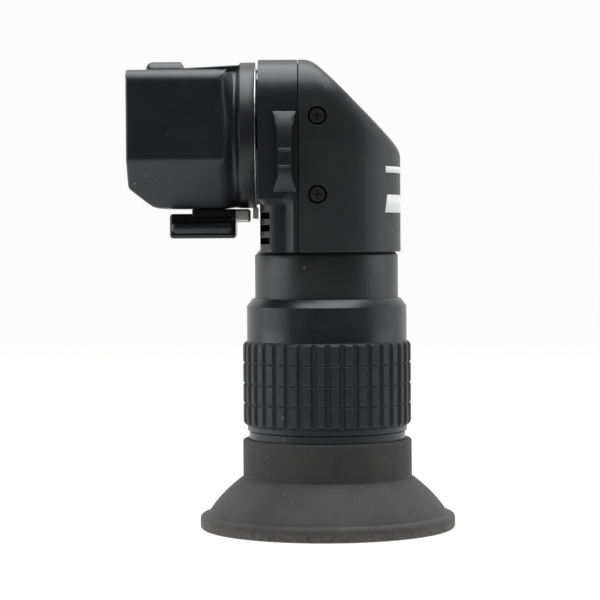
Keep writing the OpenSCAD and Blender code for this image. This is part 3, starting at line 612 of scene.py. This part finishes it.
def back_cover():
    """Skin of the back casting: level rings up to 74.2, a fan of tilting rings, then upright rings to the seam,
    and on each side a grid that joins their ends and is cut out round the screw pockets."""
    turn = np.radians(np.linspace(-90, 90, 145))
    below, above = np.arange(56.2, 60.9, 0.3), np.arange(69.6, 74.3, 0.3)
    levels = np.unique(np.round(np.concatenate([[COVER_FOOT, 49.4, 51, 53, 55], below, np.linspace(61.2, 69.3, 28),
                                                above, [74.2]]), 4))
    tilts = np.radians(np.linspace(0, 90, 20)[1:])
    backs = np.concatenate([np.linspace(0.8, -4.2, 21)[1:], [SEAM_X]])
    height = np.concatenate([levels, np.full(len(tilts) + len(backs), 74.2)])
    start = np.concatenate([np.full(len(levels) + len(tilts), 0.8), backs])
    tilt = np.concatenate([np.zeros(len(levels)), tilts, np.full(len(backs), np.pi / 2)])
    origin = np.stack([start, np.zeros_like(start), height], -1)[:, None, :] + np.zeros((1, len(turn), 1))
    way = np.stack([np.cos(turn) * np.cos(tilt)[:, None], np.sin(turn) + 0 * tilt[:, None],
                    np.cos(turn) * np.sin(tilt)[:, None]], -1)
    skin = cast_rays(origin, way)
    parts = [(shift(skin.reshape(-1, 3)) * MM, grid_quads(len(height), len(turn)))]
    across = np.concatenate([[0.8], backs])
    columns = (across > -3.7) & (across < 0.79)
    for side in (-1, 1):
        def on_side(a, b):
            start = np.stack([a, np.zeros_like(a), b], -1)
            return shift(cast_rays(start, np.broadcast_to([0.0, side, 0.0], start.shape)))
        b, a = np.meshgrid(levels, across, indexing="ij")
        keep = np.ones((len(levels) - 1, len(across) - 1), bool)
        for h in SCREW_Z:
            rows = np.flatnonzero((levels > h - 2.15) & (levels < h + 2.15))
            cols = np.flatnonzero(columns)
            keep[rows[0]:rows[-1], cols[0]:cols[-1]] = False
            parts.append(pocket_ring((across[cols], levels[rows]), np.array([SCREW_X, h]), POCKET_R, on_side))
        parts.append((on_side(a.ravel(), b.ravel()) * MM, grid_quads(*a.shape)[keep.ravel()]))
    start = np.column_stack([across[1:], np.zeros(len(across) - 1), np.full(len(across) - 1, COVER_FOOT)])
    ends = cast_rays(start, np.broadcast_to([0.0, -1.0, 0.0], start.shape))[:, :2]
    foot = np.concatenate([ends[::-1], skin[0, :, :2], ends * [1, -1]])
    parts.append(radial_patch(foot, (0, 0), (0, 0.2, 1), NECK_HOLE_R,
                              lambda a, b: shift(np.stack([a, b, np.full_like(a, COVER_FOOT)], -1))))
    return parts


cover = make_piece("back_casting", back_cover(), sharp=32)
rear_paint = black_finish("rear_casting_paint", (0.0165, 0.0172, 0.0178), (0.0200, 0.0206, 0.0212),
                          (0.36, 0.46), 5200, 0.000010, dust=0.2, specular=0.45)
hollow(cover, 1.5 * MM, 0.16 * MM, paint=rear_paint)
dress(cover, rear_paint, "housing", "casting_black", "prism_housing")


def pocket_floors():
    """Flat rings at the bottom of the four screw pockets, each with the hole for its screw."""
    parts = []
    for side in (-1, 1):
        for h in SCREW_Z:
            parts.append(flat_patch(circle((SCREW_X, h), 1.75, 40), (circle((SCREW_X, h), 0.85, 24),),
                                    lambda a, b: shift(np.stack([a, np.full_like(a, side * 12.2), b], -1))))
    return parts


floors = make_piece("screw_pocket_floors", pocket_floors())
give_wall(floors, 0.3 * MM)
dress(floors, inner, "housing", "casting_black")


# ---------------------------------------------------------------- printed marks
# Two plain white bars screen-printed round the back of the casting stand in for its markings: a
# broad one low down and a fine one above, each a film a few hundredths of a millimetre thick.
def printed_bars():
    """Bars on the round back: angle runs from -reach to reach degrees at a radius just over the casting's."""
    parts = []
    radius = COVER_HALF + 0.02
    for low, high, reach, lean in ((55.4, 58.5, 40, 0.7), (62.3, 63.4, 39, 0.0)):
        turn = np.radians(np.linspace(-reach, reach, 60))
        rows = [np.column_stack([radius * np.cos(turn + lag), radius * np.sin(turn + lag), np.full(60, h)])
                for h, lag in ((low, 0), (high, lean / 13))]
        parts.append((shift(np.concatenate(rows)) * MM, grid_quads(2, 60)))
    return parts


def print_finish():
    """White screen ink, faintly uneven in tone, satin."""
    material, nodes, links, shader = new_material("white_ink")
    where = nodes.new("ShaderNodeTexCoord").outputs["Object"]
    speck = noise_node(nodes, links, where, 3500, 4)
    links.new(blend_colours(nodes, links, span(nodes, links, speck, 0.35, 0.6, 0, 1), (0.80, 0.81, 0.82),
                            (0.88, 0.88, 0.88)), shader.inputs["Base Color"])
    links.new(span(nodes, links, speck, 0.3, 0.7, 0.4, 0.55), shader.inputs["Roughness"])
    return material


bars = make_piece("printed_bars", printed_bars())
give_wall(bars, 0.015 * MM).offset = 1
dress(bars, print_finish(), "housing", "casting_black")


# ---------------------------------------------------------------- front casting
# The cover in front of the seam carries the swivel. Its crown runs on from the back casting to a
# sharp front; its lower part is narrower, with round corners that three slots are cut through.
FRONT_X, LOW_FRONT_X, FRONT_SEAM_X = -11.74, -11.54, -4.93
LEDGE_FOOT, LEDGE_TOP, LOW_CORNER, SWIVEL_R = 56.8, 57.75, (-7.24, -7.7), 9.83


def front_cover():
    """Skin of the front casting: a lower wall grid, a ledge that spreads it to the crown, the crown and flat ends."""
    side = -COVER_HALF
    corner = arc(LOW_CORNER, 4.3, -90, -180, 13)
    low = np.concatenate([[[FRONT_SEAM_X, side], [-5.75, side], [-7.0, -12.08]], corner,
                          [[LOW_FRONT_X, -6], [LOW_FRONT_X, 0]]])
    to_corner = np.linspace([-7.9, side], [FRONT_X, side], 7)
    along_front = np.linspace([FRONT_X, side], [FRONT_X, -8.3], 7)[1:]
    high = np.concatenate([[[FRONT_SEAM_X, side], [-5.75, side], [-7.5, side]], to_corner, along_front,
                           [[FRONT_X, -6], [FRONT_X, 0]]])
    mirror = lambda plan: np.concatenate([plan, plan[-2::-1] * [1, -1]])
    low, high = mirror(low), mirror(high)
    levels = [COVER_FOOT, 50.05, 51.15, 52.25, 53.35, 54.4, 55.5, LEDGE_FOOT]
    rows = [np.column_stack([low, np.full(len(low), h)]) for h in levels]
    rows += [np.column_stack([low + (high - low) * t, np.full(len(low), LEDGE_FOOT + (LEDGE_TOP - LEDGE_FOOT) * t)])
             for t in (0.55, 1.0)]
    wall = grid_quads(len(rows), len(low))
    middle = len(low) // 2
    column = np.arange(len(low) - 1)
    from_centre = np.abs(column + 0.5 - middle)
    cut_columns = (from_centre > 1) & (from_centre < 9)
    keep = np.ones((len(rows) - 1, len(low) - 1), bool)
    keep[[1, 3, 5], :] &= ~cut_columns
    parts = [(shift(np.concatenate(rows)) * MM, wall[keep.ravel()])]
    flank = np.array([[side, z] for z in (LEDGE_TOP, 60, 63, 66, 69, 72, CROWN_AT[1])])
    crown = np.concatenate([flank, arc((-CROWN_AT[0], CROWN_AT[1]), ROOF_R, 180, 90, 25)[1:]])
    crown = np.concatenate([crown, (crown * [-1, 1])[::-1]])
    ends = [np.column_stack([np.full(len(crown), x), crown]) for x in (FRONT_SEAM_X, -5.75, -7.5, *to_corner[:, 0])]
    parts.append((shift(np.concatenate(ends)) * MM, grid_quads(len(ends), len(crown))))
    foot_line = high[high[:, 0] <= FRONT_X + 1e-6][::-1]
    face = np.concatenate([crown, np.column_stack([foot_line[1:, 1], np.full(len(foot_line) - 1, LEDGE_TOP)])])
    parts.append(radial_patch(face, (0, AXIS), (0, 0.25, 1), SWIVEL_R,
                              lambda a, b: shift(np.stack([np.full_like(a, FRONT_X), a, b], -1))))
    parts.append(radial_patch(low, (0, 0), (0, 0.25, 1), NECK_HOLE_R,
                              lambda a, b: shift(np.stack([a, b, np.full_like(a, COVER_FOOT)], -1))))
    return parts


front = make_piece("front_casting", front_cover(), sharp=32)
hollow(front, 0.98 * MM, 0.055 * MM)
dress(front, satin, "housing", "casting_black", "front_housing")


def slot_liner():
    """Painted shade close behind the slots: the lower corners drawn 0.94 inwards, from the foot to under the ledge.
    """
    corner = arc(LOW_CORNER, 3.36, -80, -180, 11)
    plan = np.concatenate([corner, (corner * [1, -1])[::-1]])
    rows = [np.column_stack([plan, np.full(len(plan), h)]) for h in (48.9, 56.9)]
    return [(shift(np.concatenate(rows)) * MM, grid_quads(2, len(plan)))]


liner = make_piece("slot_liner", slot_liner())
give_wall(liner, 0.3 * MM)
dress(liner, painted_shade, "housing", "inner_black")


def seam_tongue():
    """Tongue of painted shade inside the seam: the crown's section drawn 0.7 inwards, carried a little way along X.
    """
    side = 0.7 - COVER_HALF
    roof = arc((-CROWN_AT[0], CROWN_AT[1]), ROOF_R - 0.7, 180, 90, 16)
    half = np.concatenate([[[side, 48.9], [side, CROWN_AT[1]]], roof[1:]])
    path = np.concatenate([half, (half * [-1, 1])[::-1]])
    rows = [np.column_stack([np.full(len(path), x), path]) for x in (-6.2, -3.6)]
    return [(shift(np.concatenate(rows)) * MM, grid_quads(2, len(path)))]


tongue = make_piece("seam_tongue", seam_tongue(), sharp=60)
give_wall(tongue, 0.2 * MM)
dress(tongue, painted_shade, "housing", "inner_black")


def swivel_boss():
    """Half ring on the front face below the axis, which the bright ring runs against."""
    ring = [arc((0, AXIS), r, 194, 346, 60) for r in (9.95, 12.2, 12.2, 9.95)]
    depth = (FRONT_X + 0.3, FRONT_X + 0.3, -12.14, -12.14)
    rows = [np.column_stack([np.full(60, x), q]) for x, q in zip(depth, ring)]
    faces = grid_quads(5, 60) % 240
    caps = [[0, 60, 120, 180], [59, 119, 179, 239]]
    return [(shift(np.concatenate(rows)) * MM, faces.tolist() + caps)]


boss = make_piece("swivel_boss", swivel_boss(), bevel=0.06 * MM)
dress(boss, satin, "housing", "casting_black")


# ---------------------------------------------------------------- camera shoe block
# The block that slides onto the camera: square at the camera, chamfered below, and drawn in behind
# to a waist and a round flange that turns against the front casting. Die-cast, lacquered black.
WAIST_R, FLANGE_R = 12.05, 12.8
BLOCK_FRONT, BLOCK_FOOT, BLOCK_TOP, BLOCK_HALF, FOOT_HALF = -34.2, 56.3, 80, 13.5, 5.5


def rising_cut(x):
    """How far the block's foot rises towards the camera: 3.5 at the face, falling to nothing 4.2 behind it."""
    return 3.5 - (x - BLOCK_FRONT) * 3.5 / 4.2


def waist_radius(upward):
    """Radius of the waist: 12.05 at the sides, growing to 12.7 straight below with the sixth power of the slope."""
    return WAIST_R + 0.65 * np.clip(-upward, 0, 1) ** 6


def block_skin():
    """Block: at each station along X the chamfered section is scaled about the axis, from its full size to the
    waist along an S-curve, so each column of points runs from the camera's face to the flange."""
    def fillet(before, at, after, radius, steps=7):
        before, at, after = map(np.array, (before, at, after))
        u, v = before - at, after - at
        u, v = u / np.linalg.norm(u), v / np.linalg.norm(v)
        half = math.acos(np.clip(u @ v, -1, 1)) / 2
        centre = at + (u + v) / np.linalg.norm(u + v) * radius / math.sin(half)
        first, last = at + u * radius / math.tan(half) - centre, at + v * radius / math.tan(half) - centre
        t = np.linspace(0, 1, steps)[:, None]
        sweep = math.pi - 2 * half
        return centre + (np.sin((1 - t) * sweep) * first + np.sin(t * sweep) * last) / math.sin(sweep)

    def between(first, last, steps):
        return np.linspace(first, last, steps + 1)[1:-1]

    def section(x):
        cut = rising_cut(x)
        rise = (cut + math.hypot(cut, 0.6)) / 2
        low, foot = BLOCK_FOOT + rise, FOOT_HALF + rise
        bend, upright, corner = (BLOCK_HALF, 64.3), (BLOCK_HALF, 70), (BLOCK_HALF, BLOCK_TOP)
        knee = fillet((foot, low), bend, upright, 1.3)
        heel = fillet((0, low), (foot, low), bend, 1.0)
        crest = fillet(upright, corner, (0, BLOCK_TOP), 2.5, 13)
        roof = np.concatenate([[[9.9, BLOCK_TOP]], np.linspace((9, BLOCK_TOP), (0, BLOCK_TOP), 8)])
        right = np.concatenate([between((0, low), heel[0], 7), heel, between(heel[-1], knee[0], 8), knee,
                                between(knee[-1], crest[0], 12), crest, roof])
        return np.concatenate([right, (right[:-1] * [-1, 1])[::-1], [[0, low]]])

    stations = np.concatenate([[BLOCK_FRONT, -34.12, -33.95, -33.7], np.linspace(-33.2, -31.3, 4),
                               np.linspace(-30.9, -29.3, 7), [-27.2, -25, -22, -20],
                               np.linspace(-19.4, -15.8, 26)])
    rows = []
    for x in stations:
        share = np.clip((x + 19.0) / 3.1, 0, 1) ** 1.9
        grow = 1 - share * share * (3 - 2 * share)
        points = section(x) - [0, AXIS]
        reach = np.linalg.norm(points, axis=1)
        waist = waist_radius(points[:, 1] / reach)
        scaled = points * ((waist + (reach - waist) * grow) / reach)[:, None]
        inset = 0.5 - math.sqrt(max(0.25 - min(x + 33.7, 0) ** 2, 0))
        scaled = (scaled + [0, 1.0]) * (1 - inset / 13.0) - [0, 1.0]
        rows.append(np.column_stack([np.full(len(points), x), scaled + [0, AXIS]]))
    direction = (section(-20) - [0, AXIS])
    direction /= np.linalg.norm(direction, axis=1)[:, None]
    waist = waist_radius(direction[:, 1])
    lead = [(-15.75 + 1.0 * t, waist + (FLANGE_R - waist) * t * t * (3 - 2 * t)) for t in np.linspace(0.1, 1, 10)]
    end = [(x, np.full_like(waist, r)) for x, r in ((-12.42, FLANGE_R), (-12.37, FLANGE_R - 0.03),
                                                    (-12.35, FLANGE_R - 0.09), (-12.35, 12.32))]
    for x, radius in lead + end:
        rows.append(np.column_stack([np.full(len(direction), x), direction * radius[:, None] + [0, AXIS]]))
    count = len(direction)
    faces = grid_quads(len(rows), count, wrap=True).reshape(len(rows) - 1, count, 4)
    middle = np.stack(rows)[:, :, 1]
    top = (np.abs((middle[0] + np.roll(middle[0], -1)) / 2) < 9.9) & (np.stack(rows)[0, :, 2] > BLOCK_TOP - 0.1)
    keep = np.ones(faces.shape[:2], bool)
    keep[:7, :] &= ~top
    return [(shift(np.concatenate(rows)) * MM, faces[keep])]


block = make_piece("shoe_block", block_skin(), sharp=32)
hollow(block, 1.2 * MM, 0)
dress(block, satin, "camera_shoe", "casting_black", "adapter_block")


def block_core():
    """The designed block without its outer skin: slot, chamber, bore and screw holes are left."""
    mesh = frame["nodes"]["adapter_block"].data.copy()
    mesh.materials.clear()
    shape = bmesh.new()
    shape.from_mesh(mesh)
    bmesh.ops.remove_doubles(shape, verts=shape.verts, dist=MERGE_WITHIN)
    outer, neck_x = [], -16.95
    for face in shape.faces:
        x, y, z = (face.calc_center_median() - Vector((TUBE_X, 0, 0))) / MM
        reach = math.hypot(y, z - AXIS)
        low = BLOCK_FOOT + max(0.0, rising_cut(x))
        in_block = (BLOCK_FRONT + 0.1 < x < neck_x and abs(y) < BLOCK_HALF - 0.2 and low + 0.15 < z < BLOCK_TOP - 0.1
                    and abs(y) < FOOT_HALF + z - BLOCK_FOOT - 0.2 and not (x > -20 and abs(y) > 10.9))
        if not (in_block or (x >= neck_x and reach < 10.0)):
            outer.append(face)
    bmesh.ops.delete(shape, geom=outer, context="FACES")
    shape.to_mesh(mesh)
    shape.free()
    mesh.shade_flat()
    return add_object("shoe_block_core", mesh)


dress(block_core(), satin, "camera_shoe", "casting_black", "adapter_block")


def rounded_box(low, high, radius, steps=4):
    """Box with rounded edges: the directions of a cube's six faces, each set off by the radius from the inner
    corner that lies on its side of the middle."""
    low, high = np.array(low, float), np.array(high, float)
    swing = np.tan(np.radians(np.linspace(0, 45, steps + 1)))
    swing, sign = np.concatenate([-swing[::-1], swing]), np.repeat([-1.0, 1.0], steps + 1)
    u, v = np.meshgrid(swing, swing, indexing="ij")
    side_u, side_v = np.meshgrid(sign, sign, indexing="ij")
    parts = []
    for axis in range(3):
        for way in (-1.0, 1.0):
            order = [axis, (axis + 1) % 3, (axis + 2) % 3]
            direction, side = np.empty(u.shape + (3,)), np.empty(u.shape + (3,))
            direction[..., order] = np.stack([np.full_like(u, way), u, v], -1)
            side[..., order] = np.stack([np.full_like(u, way), side_u, side_v], -1)
            direction /= np.linalg.norm(direction, axis=-1, keepdims=True)
            points = (low + high) / 2 + side * ((high - low) / 2 - radius) + direction * radius
            parts.append((points.reshape(-1, 3), grid_quads(len(swing), len(swing))))
    return parts


def placed(parts):
    """Parts in millimetres from the eyepiece axis, moved to the shared frame in metres."""
    return [(shift(points) * MM, faces) for points, faces in parts]


def block_ridges():
    """Hump, cut square behind, and spine on top of the block, both rounded boxes sunk into it."""
    hump = []
    for q, faces in rounded_box((-31.1, -8.3, 76), (-23.8, 8.3, 81.7), 1.2, 8):
        narrowing = 1 - 0.17 * np.clip((q[:, 2] - 79.5) / 2.2, 0, 1)
        hump.append((np.column_stack([np.minimum(q[:, 0], -25.1), q[:, 1] * narrowing, q[:, 2]]), faces))
    spine = [(np.column_stack([q[:, :2], q[:, 2] + 0.05 * (q[:, 0] + 25)]), f)
             for q, f in rounded_box((-26, -5, 77), (-14.9, 5, 80.75), 0.3)]
    return placed(hump + spine)


ridges = make_piece("shoe_block_ridges", block_ridges(), sharp=40)
dress(ridges, satin, "camera_shoe", "casting_black")


# ---------------------------------------------------------------- lock
# The tab under the block is moulded glossy black with a half-round grip ridge on both sides; a
# satin steel slider is screwed into it and slides towards the swivel.
def lock_tab_shape():
    """Tab and the neck that enters the block."""
    tab = rounded_box((-27.3, -5.5, 51.1), (-15.8, 5.5, 55.4), 0.62)
    neck_block = rounded_box((-23.4, -5.5, 54.3), (-15.8, 5.5, 56.22), 0.3)
    return placed(tab + neck_block)


def grip_ridges():
    """Half-round bars along both sides of the tab."""
    return placed([r for side in (-1, 1) for r in rounded_box((-27.0, side * 5.5 - 1.02, 51.98),
                                                              (-16.1, side * 5.5 + 1.02, 54.02), 0.95, 6)])


def slider_shape():
    """Steel slider with its post and the wide head inside the block."""
    return placed(rounded_box((-22.8, -4.5, 53.9), (-13.3, 1.5, 56.2), 0.45)
                  + rounded_box((-22.8, -1.5, 56.0), (-19.9, 1.5, 58.3), 0.1)
                  + rounded_box((-24, -3.2, 58.25), (-19.85, 3.2, 59), 0.15))


glossy = black_finish("lock_black", (0.0045, 0.0045, 0.005), (0.006, 0.006, 0.0065), (0.16, 0.24), 5200,
                      0.000006, dust=0.06, specular=0.5)
dress(make_piece("lock_tab_moulded", lock_tab_shape(), sharp=40), glossy, "lock", "casting_black", "lock_tab")
dress(make_piece("lock_grip_ridges", grip_ridges(), sharp=40), satin, "lock", "casting_black")
dress(make_piece("lock_slider_steel", slider_shape(), sharp=40), steel, "lock", "steel", "lock_slider")


# ---------------------------------------------------------------- magnification lever
# A small cast bow-tie lever, lacquered black: a flat thumb crown between two pairs of fine ridges,
# and ramps that curve down and widen to both ends. It turns on a shaft through the side wall.
def lever_shape():
    """Lever: across goes from edge to edge, along from end to end. Half-width is 1.25, flaring to 2 with a power of
    the distance past the waist; thickness falls from 2.35 to about 0.4 the same way past the crown."""
    along = np.unique(np.concatenate([np.linspace(-6.85, -4.05, 15), np.linspace(-4.05, -2.95, 6),
                                      [-2.88, -2.82, -2.76, -2.70, -2.62, -2.56, -2.50, -2.44],
                                      np.linspace(-2.3, 0.0, 6), [0.06, 0.12, 0.18, 0.26, 0.32, 0.38, 0.44],
                                      np.linspace(0.6, 2.7, 8), np.linspace(2.7, 6.85, 18)]))
    wide = 1.25 + 0.75 * (np.clip((along - 2.3) / 4.55, 0, 1) ** 1.5 + np.clip((-3.7 - along) / 3.15, 0, 1) ** 1.5)
    up, down = np.clip((along - 0.35) / 6.5, 0, 1), np.clip((-2.8 - along) / 4.05, 0, 1)
    thick = 2.35 - 2.0 * up ** 2.3 - 1.95 * down ** 2.0
    for place in (0.12, 0.38, -2.5, -2.76):
        thick = thick + 0.10 * np.exp(-((along - place) / 0.055) ** 2)
    across = np.array([-1, -1, -0.86, -0.45, 0, 0.45, 0.86, 1, 1])
    lift = np.array([0, 0.84, 1, 1, 1, 1, 1, 0.84, 0])
    x = wide[:, None] * across[None, :]
    y = thick[:, None] * lift[None, :]
    points = np.stack([x - 7.2, -13.3 - y, 65.8 + along[:, None] + 0 * x], -1)
    faces = [list(f) for f in grid_quads(len(along), len(across))]
    last = (len(along) - 1) * len(across)
    faces.append(list(range(len(across))))
    faces.append([last + i for i in range(len(across))][::-1])
    faces += [[i * 9 + 8, i * 9, i * 9 + 9, i * 9 + 17] for i in range(len(along) - 1)]
    return [(shift(points.reshape(-1, 3)) * MM, faces)]


thumb = make_piece("thumb_lever", lever_shape(), sharp=40)
dress(thumb, satin, "lever", "casting_black", "magnifier_lever")


# ---------------------------------------------------------------- inner and lesser pieces
# Everything else keeps its CAD shape and takes the finish of its kind: matt black cells and
# rings, satin steel screws and springs, brass, coated glass and greased felt.
def glass_finish():
    """Optical glass with a faint coating tint and a thin uneven film of dust."""
    material, nodes, links, shader = new_material("coated_glass")
    where = nodes.new("ShaderNodeTexCoord").outputs["Object"]
    film = noise_node(nodes, links, where, 400, 4)
    links.new(blend_colours(nodes, links, span(nodes, links, film, 0.3, 0.7, 0, 1), (0.90, 0.95, 0.97),
                            (0.84, 0.90, 0.95)), shader.inputs["Base Color"])
    links.new(span(nodes, links, film, 0.4, 0.8, 0.01, 0.05), shader.inputs["Roughness"])
    shader.inputs["Transmission Weight"].default_value = 1.0
    shader.inputs["IOR"].default_value = 1.52
    shader.inputs["Coat Weight"].default_value = 0.3
    shader.inputs["Coat Tint"].default_value = (0.75, 0.8, 1.0, 1)
    return material


glass = glass_finish()
felt = black_finish("greased_felt", (0.012, 0.011, 0.010), (0.035, 0.033, 0.030), (0.8, 0.95), 9000, 0.00006,
                    dust=0.1, specular=0.2)
BY_SLOT = {"inner_black": inner, "steel": steel, "bright_steel": chrome, "brass": brass, "glass": glass,
           "felt": felt, "casting_black": satin, "rubber": satin, "black_steel": blackened}
for row in frame["record"]["subparts"]:
    kept = frame["nodes"][row["node"]]
    if not kept.hide_render:
        kept.data.materials.clear()
        kept.data.materials.append(anodised if row["node"] == "eyecup_seat_ring" else BY_SLOT[row["material_slot"]])
